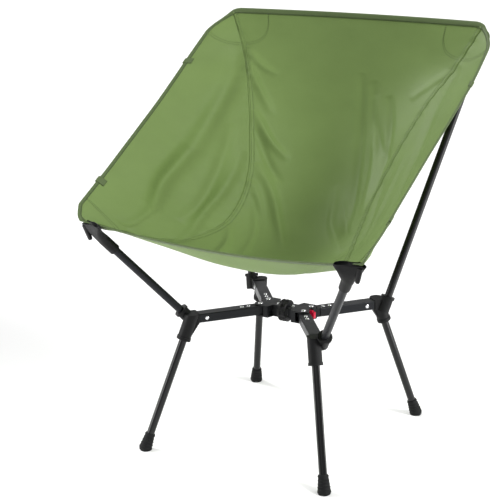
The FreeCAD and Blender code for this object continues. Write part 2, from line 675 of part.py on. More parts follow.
def front_pocket():
    """The cloth patch on the side panel's lower corner, beside the blade."""
    start = 1 + PATCH_SEAM_GAP
    grid = []
    for row in range(PATCH_ROWS + 1):
        down = 0.995 - FRONT_PATCH_DEPTH * row / PATCH_ROWS
        grid.append([])
        for column in range(PATCH_COLUMNS + 1):
            across = start + (PATCH_OUTER_EDGE - start) * column / PATCH_COLUMNS
            point, outward = sling_frame(across, down)
            grid[-1].append(point + outward * (FABRIC + PATCH_CLEARANCE))
    return thickened(grid, POCKET_CLOTH, sling_frame(1.5, 0.97)[1])


# ---- assembly -----------------------------------------------------------------------------
def build():
    """Every node of the chair, by name."""
    nodes = {"hub_spindle": spindle(), "lock_knob": lock_knob(),
             "thrust_washers": thrust_washers(), "pivot_pins": pivot_pins(),
             "hub_rivets": hub_rivets(), "seat_panel": seat_panel()}
    corners = {end: Corner(end) for end in ENDS}
    makers = {"arm": arm_tube, "arm_heel": arm_heel, "arm_rivets": arm_rivets,
              "bracket": bracket, "leg": leg, "foot": foot}
    for side in SIDES:
        nodes["yoke_" + side] = yoke(side)
        nodes["end_block_" + side] = end_block(side)
        nodes["release_button_" + side] = release_button(side)
        nodes["button_spring_" + side] = button_spring(side)
        nodes["side_panel_" + side] = side_panel(side)
        for end, corner in corners.items():
            for name, maker in makers.items():
                nodes[name + "_" + end + "_" + side] = mirrored(maker(corner), side)
        nodes["front_pole_" + side] = mirrored(front_pole(corners["front"]), side)
        nodes["back_pocket_" + side] = mirrored(back_pocket(corners["back"]), side)
        nodes["front_pocket_" + side] = mirrored(front_pocket(), side)
        nodes["paddle_" + side] = mirrored(paddle(corners["front"]), side)
        for name, shape in back_pole_parts(corners["back"]).items():
            nodes[name + "_" + side] = mirrored(shape, side)
    return nodes


def centre_shift(nodes):
    """The move that puts the chair's box centre over the origin, standing on the floor."""
    box = FreeCAD.BoundBox()
    for shape in nodes.values():
        box.add(shape.optimalBoundingBox(False))
    return Vector(-box.Center.x, -box.Center.y, -box.ZMin), box


def main():
    """Write one STEP file for each node."""
    os.makedirs("parts", exist_ok=True)
    nodes = build()
    shift, box = centre_shift(nodes)
    for name, shape in sorted(nodes.items()):
        shape.translate(shift)
        shape.exportStep("parts/" + name + ".step")
        print(name, "solids", len(shape.Solids), "valid", shape.isValid(),
              "volume", round(shape.Volume, 1))
    print("nodes", len(nodes), "shift", tuple(round(value, 4) for value in shift))
    print("size", round(box.XLength, 2), round(box.YLength, 2), round(box.ZLength, 2))
    for end in ENDS:
        corner = Corner(end)
        for label, point in (("pivot", corner.pivot), ("floor", corner.floor_point),
                             ("leg_down", corner.leg_down), ("pole_up", corner.pole_up)):
            print(end, label, tuple(round(value, 4) for value in point))


main()
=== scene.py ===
import json
import math

import bpy
import numpy as np
from bpy.props import FloatProperty, FloatVectorProperty, PointerProperty
from mathutils import Matrix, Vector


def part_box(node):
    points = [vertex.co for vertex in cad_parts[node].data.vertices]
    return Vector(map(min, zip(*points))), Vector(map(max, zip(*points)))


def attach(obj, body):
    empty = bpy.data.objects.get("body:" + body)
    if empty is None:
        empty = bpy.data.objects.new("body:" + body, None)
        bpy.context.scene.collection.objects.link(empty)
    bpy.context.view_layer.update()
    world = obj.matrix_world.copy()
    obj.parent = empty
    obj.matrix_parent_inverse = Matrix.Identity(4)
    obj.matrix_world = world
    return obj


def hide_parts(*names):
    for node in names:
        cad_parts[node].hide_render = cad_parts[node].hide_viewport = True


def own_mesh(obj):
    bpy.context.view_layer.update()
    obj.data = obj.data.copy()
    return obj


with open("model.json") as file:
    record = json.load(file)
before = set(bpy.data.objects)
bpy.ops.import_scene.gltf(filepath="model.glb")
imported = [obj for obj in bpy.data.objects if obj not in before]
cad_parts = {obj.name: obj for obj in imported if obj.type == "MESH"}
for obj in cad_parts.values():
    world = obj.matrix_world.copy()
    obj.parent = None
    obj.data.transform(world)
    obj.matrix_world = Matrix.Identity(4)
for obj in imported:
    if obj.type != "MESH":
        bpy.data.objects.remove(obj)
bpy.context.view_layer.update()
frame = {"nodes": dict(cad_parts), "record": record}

bl_info = {
    "name": "Camp chair with a hung sling",
    "version": (1, 0, 0),
    "blender": (4, 5, 0),
    "location": "View3D > Sidebar > Camp chair",
    "description": "Sews the sling, its pockets and bindings, and finishes the frame of a folding camp chair",
    "category": "Object",
}

MM = 0.001
HUB_LOW, HUB_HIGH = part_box("hub_spindle")
HUB_CENTRE = (np.array(HUB_LOW) + np.array(HUB_HIGH)) / 2
SIDES = ((-1, "left"), (1, "right"))
DRAWN_HUB_Y = 6 * MM          # where the hub stands in the drawing of the lines below
SHIFT = np.array([0.0, HUB_CENTRE[1] - DRAWN_HUB_Y, 0.0])

# ---- the sling's lines, mm, from the back's top to the seat's front ------------------------
CENTRE_LINE = ((0, 262, 679), (0, 251, 610), (0, 231, 540), (0, 199, 465), (0, 146, 386),
               (0, 70, 324), (0, -20, 302), (0, -108, 317), (0, -185, 367))
SEAM_LINE = ((243, 243, 679), (204, 219, 608), (174, 183, 556), (146, 142, 491), (123, 98, 420),
             (118, 50, 369), (129, -8, 342), (166, -100, 344), (249, -211, 392))
FREE_EDGE = ((265.8, 233, 668), (268, 142, 607), (266.5, 92, 576), (264, 36, 543), (262, -20, 512),
             (261, -70, 484), (260, -120, 456), (260, -166, 431), (258, -212, 408))
SIDE_BELLY = 9.0
BELLY_WAY = (0.6, 0.25, -0.75)
CLOTH_LENGTH = 0.86          # metres of cloth from the top hem to the front hem
CLOTH = 1.0 * MM             # thickness of the coated cloth
CLOTH_LIFT = -0.6 * MM       # the middle of the cloth, from the surface that cloth() gives
OUTER_LIFT = 1.9 * MM        # a pocket's distance behind that surface
BACK_POLE_TOP = (237.0, 246.0, 651.0)
BACK_POLE_WAY = (0.2281, 0.2818, 0.932)
FRONT_POLE_TOP = (217.8, -194.2, 360.8)
FRONT_POLE_WAY = (0.4702, -0.4907, 0.7336)
POLE_RADIUS = 6.5 * MM


def metres(points):
    """Millimetre points in metres, moved to where the frame stands."""
    return np.array(points, float) * MM + SHIFT


def unit(vectors):
    """Vectors divided by their lengths."""
    return vectors / np.maximum(np.linalg.norm(vectors, axis=-1, keepdims=True), 1e-12)


def smooth(share):
    """Cubic step 3t^2 - 2t^3 of a share held between 0 and 1."""
    share = np.clip(share, 0.0, 1.0)
    return share * share * (3 - 2 * share)


def through(points, share):
    """Catmull-Rom line: between two neighbours a cubic whose slope at each point is half the step
    from the point before it to the point after it."""
    points = np.asarray(points, float)
    last = len(points) - 1
    place = np.clip(share, 0, 1) * last
    index = np.minimum(place.astype(int), last - 1)
    t = (place - index)[..., None]
    padded = np.vstack([2 * points[0] - points[1], points, 2 * points[-1] - points[-2]])
    before, start, end, after = (padded[index + k] for k in range(4))
    return 0.5 * (2 * start + (end - before) * t + (2 * before - 5 * start + 4 * end - after) * t ** 2
                  + (3 * start - before - 3 * end + after) * t ** 3)


def spans(down):
    """The middle line, the seam and the free edge at a share of the way down, for the +X side."""
    return (through(metres(CENTRE_LINE), down), through(metres(SEAM_LINE), down),
            through(metres(FREE_EDGE), down))


def ground(across, down):
    """The cloth without folds.  across is 0 in the middle, 1 on a seam, 2 on a free edge, signed.
    Middle panel: x grows evenly to the seam; y and z go to the seam's with the square of the share.
    Side panel: the chord from seam to free edge, plus a belly of 4t(1-t) sin(pi down)."""
    across, down = np.broadcast_arrays(np.asarray(across, float), np.asarray(down, float))
    side, share = np.where(across < 0, -1.0, 1.0), np.abs(across)
    middle, seam, edge = spans(down)
    inner = np.minimum(share, 1)[..., None]
    panel = middle + (seam - middle) * inner ** 2
    panel[..., 0] = seam[..., 0] * inner[..., 0]
    t = np.clip(share - 1, 0, 1)[..., None]
    belly = SIDE_BELLY * MM * 4 * t * (1 - t) * np.sin(np.pi * down)[..., None]
    wing = seam + (edge - seam) * t + belly * np.array(BELLY_WAY)
    points = np.where((share > 1)[..., None], wing, panel)
    points[..., 0] *= side
    return points


def cut_place(across, down):
    """Where a point lay on the flat cut, metres: sideways from the middle, and down from the top."""
    across, down = np.broadcast_arrays(np.asarray(across, float), np.asarray(down, float))
    seam, edge = spans(down)[1:]
    wide = np.linalg.norm(edge - seam, axis=-1)
    share = np.abs(across)
    sideways = seam[..., 0] * np.minimum(share, 1) + wide * np.clip(share - 1, 0, 1)
    return np.where(across < 0, -sideways, sideways), down * CLOTH_LENGTH


SLOPE_STEP = 0.003           # share of a panel between the two points of a difference


def slopes(shape, across, down):
    """Central differences of a surface along across and down, kept on one panel of the sling."""
    low = np.where(across > 1, 1.0, np.where(across < -1, -2.0, -1.0))
    high = np.where(across > 1, 2.0, np.where(across < -1, -1.0, 1.0))
    left, right = np.maximum(across - SLOPE_STEP, low), np.minimum(across + SLOPE_STEP, high)
    upper, lower = np.maximum(down - SLOPE_STEP, 0.0), np.minimum(down + SLOPE_STEP, 1.0)
    nudge = np.where(across > 1, 1e-7, np.where(across < -1, -1e-7, 0.0))
    left, right = left + nudge, right + nudge
    sideways = (shape(right, down) - shape(left, down)) / (right - left)[..., None]
    downwards = (shape(across, lower) - shape(across, upper)) / (lower - upper)[..., None]
    return sideways, downwards


# ---- folds ----
# Each fold runs through (across, down) places; width and height in mm, heights towards the sitter.
LEFT_FOLDS = (
    (((-1.12, 0.10), (-1.19, 0.21), (-1.41, 0.37), (-1.58, 0.60), (-1.52, 0.78)), 17, -4.6),
    (((-1.54, 0.48), (-1.59, 0.68), (-1.30, 0.92)), 12, -3.6),
    (((-1.20, 0.38), (-1.27, 0.55), (-1.25, 0.78)), 9, 3.0),
    (((-1.08, 0.44), (-1.16, 0.58), (-1.18, 0.72), (-0.95, 0.87)), 8, -3.2),
    (((-1.45, 0.78), (-1.36, 0.86), (-1.18, 0.92)), 5, 2.2),
    (((-0.98, 0.16), (-0.93, 0.24), (-0.80, 0.33)), 7, 2.6),
    (((-0.97, 0.12), (-0.86, 0.18), (-0.72, 0.21)), 8, 1.8),
    (((-0.96, 0.33), (-0.82, 0.40), (-0.60, 0.44)), 7, 3.0),
    (((-0.96, 0.38), (-0.80, 0.46), (-0.62, 0.50)), 6, -2.0),
    (((-0.95, 0.47), (-0.72, 0.53), (-0.48, 0.60), (-0.15, 0.68)), 9, 3.4),
    (((-0.95, 0.52), (-0.76, 0.60), (-0.56, 0.70), (-0.42, 0.80)), 8, 2.6),
    (((-0.90, 0.56), (-0.66, 0.64), (-0.44, 0.76)), 6, -2.4),
    (((-0.93, 0.70), (-0.70, 0.78), (-0.48, 0.90)), 7, 2.4),
)
RIGHT_FOLDS = (
    (((0.10, 0.18), (0.20, 0.31), (0.36, 0.43), (0.56, 0.54), (0.70, 0.66)), 9, -3.2),
    (((0.24, 0.20), (0.36, 0.30), (0.60, 0.38), (0.92, 0.43)), 9, -2.6),
    (((0.46, 0.24), (0.66, 0.34), (0.84, 0.44), (0.97, 0.54)), 8, -3.2),
    (((0.30, 0.24), (0.48, 0.36), (0.70, 0.46), (0.90, 0.58)), 8, 2.4),
    (((0.12, 0.48), (0.30, 0.57), (0.60, 0.64), (0.84, 0.72)), 9, 3.2),
    (((0.35, 0.52), (0.62, 0.60), (0.88, 0.66)), 6, -2.0),
    (((0.97, 0.14), (0.88, 0.20), (0.74, 0.25)), 8, 2.0),
    (((0.95, 0.74), (0.74, 0.80), (0.52, 0.90)), 7, 2.2),
    (((1.10, 0.12), (1.20, 0.24), (1.42, 0.42), (1.55, 0.62), (1.45, 0.80)), 15, -3.4),
    (((1.18, 0.40), (1.26, 0.58), (1.22, 0.78)), 9, 2.4),
    (((1.06, 0.48), (1.14, 0.62), (1.12, 0.76)), 7, -2.4),
)


LEFT_DEPTH, RIGHT_DEPTH = 2.3, 1.3       # what each side's heights are multiplied by
GATHER_HEIGHT, GATHER_REACH = 0.55 * MM, 0.011
WAVE_HEIGHT = 0.7 * MM


def fold(sideways, downwards, path, width, height):
    """A smooth ridge or groove along a line: height times exp(-(distance / width)^2), and it fades
    at both ends with the square root of a sine of the share of its length."""
    stations = through(np.array(path, float), np.linspace(0, 1, 14))
    line = np.stack(cut_place(stations[:, 0], stations[:, 1]), -1)
    points = np.stack([sideways, downwards], -1)
    lengths = np.linalg.norm(np.diff(line, axis=0), axis=1)
    starts = np.concatenate([[0], np.cumsum(lengths)])
    best = np.full(sideways.shape, np.inf)
    share = np.zeros(sideways.shape)
    for start, end, length, gone in zip(line[:-1], line[1:], lengths, starts):
        way = (end - start) / length
        t = np.clip((points - start) @ way, 0, length)
        distance = np.linalg.norm(points - start - t[..., None] * way, axis=-1)
        share = np.where(distance < best, (gone + t) / starts[-1], share)
        best = np.minimum(best, distance)
    taper = np.sqrt(np.clip(np.sin(np.pi * share), 0, 1))
    return height * MM * taper * np.exp(-(best / (width * MM)) ** 2)


def relief(across, down):
    """How far the cloth stands towards the sitter: its folds, the small gathers along the seams, and
    slow waves; all of it fades out at the hems."""
    sideways, downwards = cut_place(across, down)
    total = np.zeros(sideways.shape)
    for folds, depth in ((LEFT_FOLDS, LEFT_DEPTH), (RIGHT_FOLDS, RIGHT_DEPTH)):
        for path, width, height in folds:
            total = total + fold(sideways, downwards, path, width, height * depth)
    seam_x = cut_place(np.ones(sideways.shape), down)[0]
    from_seam = np.abs(np.abs(sideways) - seam_x)
    side = np.where(across < 0, 1.3, 0.0)
    gather = np.sin(downwards * 190 + 2.2 * np.sin(downwards * 23 + side) + side * 3)
    total = total + GATHER_HEIGHT * gather * np.exp(-(from_seam / GATHER_REACH) ** 2)
    waves = (np.sin(sideways * 21 + downwards * 9 + 0.6) * np.sin(downwards * 17 - sideways * 5)
             + 0.6 * np.sin(sideways * 47 - downwards * 13 + 2.0) * np.sin(downwards * 29 + 1.0))
    total = total + WAVE_HEIGHT * waves
    share = np.abs(across)
    held = smooth((2 - share) / 0.22) * smooth(down / 0.05) * smooth((1 - down) / 0.06)
    return total * held


def cloth(across, down):
    """The sitter's face of the cloth: the ground surface raised along its normal by the relief."""
    across, down = np.broadcast_arrays(np.asarray(across, float), np.asarray(down, float))
    sideways, downwards = slopes(ground, across, down)
    inward = -unit(np.cross(sideways, downwards))
    return ground(across, down) + inward * relief(across, down)[..., None]


def cloth_frame(across, down):
    """Points of the cloth with both slopes and the direction towards the sitter."""
    across, down = np.broadcast_arrays(np.asarray(across, float), np.asarray(down, float))
    sideways, downwards = slopes(cloth, across, down)
    return cloth(across, down), sideways, downwards, -unit(np.cross(sideways, downwards))


# ---- rounded outline ----
BACK_CORNER = 45 * MM
FRONT_CORNER = 17 * MM
BACK_CHORD = 24.6 * MM        # seam to free edge at the top
FRONT_CHORD = 18.4 * MM
SEAM_X = 243 * MM


def arc_drop(reach, chord, radius):
    """How far a corner's circle has left the straight edge: r - sqrt(r^2 - x^2), x from its start."""
    x = np.clip(reach - (chord - radius), 0, radius)
    return radius - np.sqrt(np.maximum(radius ** 2 - x ** 2, 0))


def top_trim(across):
    """Share of the way down where the outline starts: the arc's drop over the cloth's length there."""
    share = np.abs(across)
    reach = np.where(share < 1, SEAM_X * (share - 1), BACK_CHORD * (share - 1))
    return arc_drop(reach, BACK_CHORD, BACK_CORNER) / (0.632 + 0.25 * np.clip(share - 1, 0, 1))


def front_trim(across):
    """Share of the way up where the outline ends at the front, in the same way."""
    past = np.clip(np.abs(across) - 1, 0, 1)
    return arc_drop(FRONT_CHORD * past, FRONT_CHORD, FRONT_CORNER) / (1.17 - 0.75 * past)


def panel_places(across, rows):
    """(across, down) of a grid whose columns run from the outline's top to its front."""
    a = across[None, :] + 0 * rows[:, None]
    top, low = top_trim(a), 1 - front_trim(a)
    return a, top + (low - top) * rows[:, None]


def ended(count):
    """Shares from 0 to 1 that lie closer together near both ends."""
    even = np.linspace(0, 1, count)
    return 0.5 * even + 0.5 * (1 - np.cos(np.pi * even)) / 2


def outline(count):
    """(across, down) round the whole rim: along the top, down the right, back along the front and
    up the left, with the corners' arcs in the top and front runs."""
    right = 1 + np.sin(np.linspace(0, np.pi / 2, 26))
    top = np.concatenate([-right[::-1], np.linspace(-0.995, 0.995, count), right])
    low, high = top_trim(np.array(2.0)), 1 - front_trim(np.array(2.0))
    down = np.linspace(low, high, count)[1:-1]
    across = np.concatenate([top, np.full(down.shape, 2.0), top[::-1], np.full(down.shape, -2.0)])
    return across, np.concatenate([top_trim(top), down, 1 - front_trim(top[::-1]), down[::-1]])


# ---- meshes ----
def new_piece(name, points, faces, uv=None, smooth_faces=True):
    """A mesh object at the origin from an array of points, faces and, per point, a UV place."""
    mesh = bpy.data.meshes.new(name)
    mesh.from_pydata(points.reshape(-1, 3).tolist(), [], faces)
    if uv is not None:
        layer = mesh.uv_layers.new(name="UVMap")
        corners = np.empty(len(mesh.loops), np.int32)
        mesh.loops.foreach_get("vertex_index", corners)
        layer.data.foreach_set("uv", uv.reshape(-1, 2)[corners].astype(np.float32).ravel())
    mesh.polygons.foreach_set("use_smooth", np.full(len(mesh.polygons), smooth_faces))
    mesh.validate()
    mesh.update()
    piece = bpy.data.objects.new(name, mesh)
    bpy.context.scene.collection.objects.link(piece)
    return piece


def grid_faces(rows, columns, around=False, along=False):
    """Quads between neighbouring rows and columns of a grid, closed round or along if asked."""
    index = np.arange(rows * columns).reshape(rows, columns)
    if around:
        index = np.concatenate([index, index[:, :1]], 1)
    if along:
        index = np.concatenate([index, index[:1]], 0)
    corners = [index[:-1, :-1], index[1:, :-1], index[1:, 1:], index[:-1, 1:]]
    return np.stack(corners, -1).reshape(-1, 4).tolist()


def walled(piece, thickness):
    """Gives a sheet its thickness, half to each side."""
    wall = piece.modifiers.new("Cloth thickness", "SOLIDIFY")
    wall.thickness = thickness
    wall.offset = 0.0
    wall.use_even_offset = False


def hang(piece, material, *nodes):
    """Puts a sewn piece on the sling: its cloth finish, the CAD solids it stands for hidden, and the sling's
    body as its parent.
    """
    piece.data.materials.append(material)
    if nodes:
        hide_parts(*nodes)
    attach(piece, "sling")
    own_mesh(piece)


def placed(across, down, lift):
    """Cloth points moved towards the sitter by lift metres; 0 is the surface that cloth() gives."""
    points, _, _, inward = cloth_frame(across, down)
    return points + inward * np.asarray(lift)[..., None]


def stepped(across, down, way, distance):
    """The (across, down) places reached from a place by a distance along a direction in the cloth."""
    _, sideways, downwards, _ = cloth_frame(across, down)
    aa, dd = (sideways ** 2).sum(-1), (downwards ** 2).sum(-1)
    ad = (sideways * downwards).sum(-1)
    ra, rd = (sideways * way).sum(-1), (downwards * way).sum(-1)
    size = aa * dd - ad ** 2
    return (across + distance * (dd * ra - ad * rd) / size,
            down + distance * (aa * rd - ad * ra) / size)


# One stitch: a point, two rings of four and a point, in shares of half its length, width and height.
STITCH = ((-1, 0, -0.4), (-0.45, 1, 0.2), (-0.45, 0, 1), (-0.45, -1, 0.2), (-0.45, 0, -0.6),
          (0.45, 1, 0.2), (0.45, 0, 1), (0.45, -1, 0.2), (0.45, 0, -0.6), (1, 0, -0.4))
STITCH_ENDS = ((0, 1, 4), (0, 4, 3), (0, 3, 2), (0, 2, 1), (9, 5, 6), (9, 6, 7), (9, 7, 8), (9, 8, 5))
STITCH_SIDES = ((1, 2, 6, 5), (2, 3, 7, 6), (3, 4, 8, 7), (4, 1, 5, 8))
STITCH_PITCH = 3.4 * MM
STITCH_LENGTH = 2.5 * MM
THREAD = 0.55 * MM


def stitch_row(line, inward, start):
    """Thread dashes along a line of points, evenly spaced by length: each point of a stitch is the
    stitch's middle plus its shares of half the length along, and of half the thread aside and up."""
    gaps = np.linalg.norm(np.diff(line, axis=0), axis=1)
    along = np.concatenate([[0], np.cumsum(gaps)])
    count = max(2, int(along[-1] / STITCH_PITCH))
    places = (np.arange(count) + 0.5) * along[-1] / count

    def at(spots, values):
        """Values of the line's points at lengths along it, between neighbours in proportion."""
        return np.stack([np.interp(spots, along, values[:, k]) for k in range(3)], -1)

    centre, normal = at(places, line), unit(at(places, inward))
    way = unit(at(places + 0.5 * MM, line) - at(places - 0.5 * MM, line))
    aside = np.cross(way, normal)
    half, wide = STITCH_LENGTH / 2, THREAD / 2
    points = np.stack([centre + way * (half * x) + aside * (wide * y) + normal * (wide * z)
                       for x, y, z in STITCH], 1)
    base = start + np.arange(count)[:, None, None] * len(STITCH)
    faces = (base + np.array(STITCH_ENDS)).reshape(-1, 3).tolist()
    faces += (base + np.array(STITCH_SIDES)).reshape(-1, 4).tolist()
    return points.reshape(-1, 3), faces


def sew(name, rows, material):
    """One piece from several rows of stitches; a row is (line, inward)."""
    points, faces, start = [], [], 0
    for line, inward in rows:
        row_points, row_faces = stitch_row(line, inward, start)
        points.append(row_points)
        faces += row_faces
        start += len(row_points)
    hang(new_piece(name, np.concatenate(points), faces), material)


# ---- materials ----
def linear(colour):
    """sRGB 0..1 to scene-linear."""
    return tuple(c / 12.92 if c <= 0.04045 else ((c + 0.055) / 1.055) ** 2.4 for c in colour) + (1.0,)


class Wiring:
    """Short hand for adding and joining shader nodes in one tree."""

    def __init__(self, tree):
        self.tree = tree

    def add(self, kind, operation=None, **values):
        """A new node of a kind, with its operation and its inputs."""
        node = self.tree.nodes.new("ShaderNode" + kind)
        if operation:
            node.operation = operation
        return self.fill(node, **values)

    def fill(self, node, **values):
        """Feeds inputs that are named, with _ for a space, or numbered as i0, i1 and so on."""
        for key, value in values.items():
            self.feed(node.inputs[int(key[1:]) if key[1:].isdigit() else key.replace("_", " ")], value)
        return node

    def feed(self, socket, value):
        """Links an output to an input, or sets the input's own value."""
        if isinstance(value, bpy.types.NodeSocket):
            self.tree.links.new(value, socket)
        else:
            socket.default_value = value

    def math(self, operation, first, second=0.0, third=0.0):
        """The result of a Math node."""
        return self.add("Math", operation, i0=first, i1=second, i2=third).outputs[0]

    def blend(self, share, first, second):
        """The colour at a share of the way from the first to the second."""
        node = self.tree.nodes.new("ShaderNodeMix")
        node.data_type = "RGBA"
        self.feed(node.inputs[0], share)
        self.feed(node.inputs[6], first)
        self.feed(node.inputs[7], second)
        return node.outputs[2]


def new_group(name, inputs, outputs):
    """An empty node group with named sockets; returns the wiring and its two end nodes."""
    tree = bpy.data.node_groups.new(name, "ShaderNodeTree")
    for socket, kind, value in inputs:
        made = tree.interface.new_socket(name=socket, in_out="INPUT", socket_type="NodeSocket" + kind)
        if value is not None:
            made.default_value = value
    for socket, kind in outputs:
        tree.interface.new_socket(name=socket, in_out="OUTPUT", socket_type="NodeSocket" + kind)
    wiring = Wiring(tree)
    return wiring, tree.nodes.new("NodeGroupInput"), tree.nodes.new("NodeGroupOutput")


def woven_group():
    """Plain weave: cells one thread wide alternate between warp and weft, and each thread is a half sine
    across its cell; between threads the colour sinks to a painted shade, and it drifts slowly over the cloth."""
    wiring, start, end = new_group(
        "Plain weave",
        [("Place", "Vector", None), ("Threads per metre", "Float", 1700.0), ("Colour", "Color", None),
         ("Shade", "Color", None), ("Drift", "Float", 0.5)],
        [("Colour", "Color"), ("Height", "Float"), ("Roughness", "Float")])
    threads = start.outputs["Threads per metre"]
    scaled = wiring.add("VectorMath", "SCALE", i0=start.outputs["Place"], i3=threads)
    axes = wiring.add("SeparateXYZ", i0=scaled.outputs[0])
    ridges = [wiring.math("ABSOLUTE", wiring.math("SINE", wiring.math("MULTIPLY", axis, math.pi)))
              for axis in axes.outputs[:2]]
    checks = wiring.add("TexChecker", Vector=scaled.outputs[0], Scale=1.0)
    weave = wiring.add("Mix", i0=checks.outputs["Fac"], i2=ridges[0], i3=ridges[1]).outputs[0]
    drift = wiring.add("TexNoise", Vector=start.outputs["Place"], Scale=9.0, Detail=3.0, Roughness=0.6)
    fine = wiring.add("TexNoise", Vector=start.outputs["Place"], Scale=420.0, Detail=2.0)
    slow = wiring.math("MULTIPLY", wiring.math("SUBTRACT", drift.outputs[0], 0.5), start.outputs["Drift"])
    grit = wiring.math("MULTIPLY", wiring.math("SUBTRACT", fine.outputs[0], 0.5), 0.25)
    # painted shade: low weave height (between threads) takes the shade colour, thread crowns the thread
    # colour; slow drift and grit are random tone
    share = wiring.math("ADD", wiring.math("MULTIPLY_ADD", weave, 0.35, 0.62), wiring.math("ADD", slow, grit))
    wiring.fill(end, Colour=wiring.blend(share, start.outputs["Shade"], start.outputs["Colour"]),
                Height=weave, Roughness=wiring.math("MULTIPLY_ADD", slow, 0.35, 0.5))
    return wiring.tree


def grain_group():
    """Moulded or drawn surface: fine noise for height, slow noise for gloss, and a sparse mask of
    pale rubs where stretched noise peaks."""
    wiring, start, end = new_group(
        "Surface grain",
        [("Place", "Vector", None), ("Grain", "Float", 900.0), ("Smooth", "Float", 0.3),
         ("Rough", "Float", 0.45), ("Colour", "Color", None), ("Rubbed", "Color", None)],
        [("Colour", "Color"), ("Height", "Float"), ("Roughness", "Float")])
    fine = wiring.add("TexNoise", Vector=start.outputs["Place"], Scale=start.outputs["Grain"], Detail=2.0)
    slow = wiring.add("TexNoise", Vector=start.outputs["Place"], Scale=38.0, Detail=4.0, Roughness=0.65)
    rub = wiring.add("TexNoise", Vector=start.outputs["Place"], Scale=160.0, Detail=5.0, Distortion=1.2)
    mask = wiring.add("MapRange", i0=rub.outputs[0], i1=0.64, i2=0.80, i3=0.0, i4=0.55).outputs[0]
    gloss = wiring.add("MapRange", i0=slow.outputs[0], i1=0.3, i2=0.7, i3=start.outputs["Smooth"],
                       i4=start.outputs["Rough"])
    wiring.fill(end, Colour=wiring.blend(mask, start.outputs["Colour"], start.outputs["Rubbed"]),
                Height=fine.outputs[0], Roughness=gloss.outputs[0])
    return wiring.tree


def group_node(wiring, tree, **values):
    """A node that holds a node group, with its inputs fed."""
    node = wiring.add("Group")
    node.node_tree = tree
    return wiring.fill(node, **values)


def start_material(name):
    """A material with a bare Principled shader; returns the material, its wiring and the shader."""
    material = bpy.data.materials.new("finish_" + name)
    material.use_nodes = True
    return material, Wiring(material.node_tree), material.node_tree.nodes["Principled BSDF"]


def finish_shader(wiring, shader, group, strength, distance, **values):
    """Joins a group's colour, roughness and height to the shader and sets its other inputs."""
    bump = wiring.add("Bump", Strength=strength, Distance=distance, Height=group.outputs["Height"])
    wiring.fill(shader, Base_Color=group.outputs["Colour"], Roughness=group.outputs["Roughness"],
                Normal=bump.outputs[0], **values)


def cloth_material(name, weave, colour, shade, threads=1700.0, strength=0.35, drift=0.5, sheen=0.02):
    """Coated woven cloth, its threads along the piece's own UV map in metres, with painted shade between
    threads.
    """
    _, wiring, shader = start_material(name)
    place = wiring.add("TexCoord").outputs["UV"]
    group = group_node(wiring, weave, Place=place, Threads_per_metre=threads,
                       Colour=linear(colour), Shade=linear(shade), Drift=drift)
    finish_shader(wiring, shader, group, strength, 0.00012, Sheen_Weight=sheen, Sheen_Roughness=0.4,
                  Specular_IOR_Level=0.15)


def hard_material(name, grain, colour, rubbed, gloss, grain_size, metal, coat, bump):
    """Metal, moulded plastic or rubber with its grain and rubs on Object coordinates."""
    _, wiring, shader = start_material(name)
    place = wiring.add("TexCoord").outputs["Object"]
    group = group_node(wiring, grain, Place=place, Grain=grain_size, Smooth=gloss[0], Rough=gloss[1],
                       Colour=linear(colour), Rubbed=linear(rubbed))
    finish_shader(wiring, shader, group, bump, 0.00005, Metallic=metal, Coat_Weight=coat,
                  Coat_Roughness=0.08, Specular_IOR_Level=0.5 if metal > 0.9 else 0.2)


FRAME_FINISHES = {
    # slot: colour, rubbed colour, gloss range, grain, metal, coat, bump
    "pole_gloss": ((0.020, 0.021, 0.023), (0.05, 0.05, 0.055), (0.12, 0.18), 700.0, 0.0, 0.25, 0.02),
    "pole_satin": ((0.14, 0.145, 0.155), (0.21, 0.22, 0.23), (0.30, 0.42), 1200.0, 0.5, 0.0, 0.08),
    "arm_metal": ((0.125, 0.130, 0.138), (0.23, 0.235, 0.245), (0.30, 0.42), 1500.0, 0.5, 0.0, 0.08),
    "heel_metal": ((0.12, 0.125, 0.13), (0.26, 0.27, 0.28), (0.34, 0.48), 1300.0, 0.4, 0.0, 0.1),
    "hub_metal": ((0.10, 0.105, 0.11), (0.25, 0.26, 0.27), (0.34, 0.48), 1300.0, 0.4, 0.0, 0.1),
    "rivet_steel": ((0.86, 0.86, 0.87), (0.70, 0.70, 0.71), (0.16, 0.28), 1800.0, 1.0, 0.0, 0.05),
    "moulded_black": ((0.045, 0.047, 0.050), (0.11, 0.11, 0.115), (0.46, 0.60), 2600.0, 0.0, 0.0, 0.25),
    "foot_rubber": ((0.055, 0.058, 0.060), (0.15, 0.15, 0.145), (0.62, 0.80), 1400.0, 0.0, 0.0, 0.3),
    "release_red": ((0.70, 0.07, 0.20), (0.80, 0.28, 0.36), (0.28, 0.40), 2000.0, 0.0, 0.1, 0.08),
    "ferrule_metal": ((0.78, 0.78, 0.80), (0.62, 0.62, 0.64), (0.26, 0.38), 1500.0, 1.0, 0.0, 0.06),
    "elastic_cord": ((0.06, 0.06, 0.07), (0.22, 0.22, 0.22), (0.70, 0.85), 2400.0, 0.0, 0.0, 0.4),
}


def finish_of(name):
    """A material made by the finishes operator."""
    found = bpy.data.materials.get("finish_" + name)
    if found is None:
        raise RuntimeError("make the finishes first: there is no material for " + name)
    return found


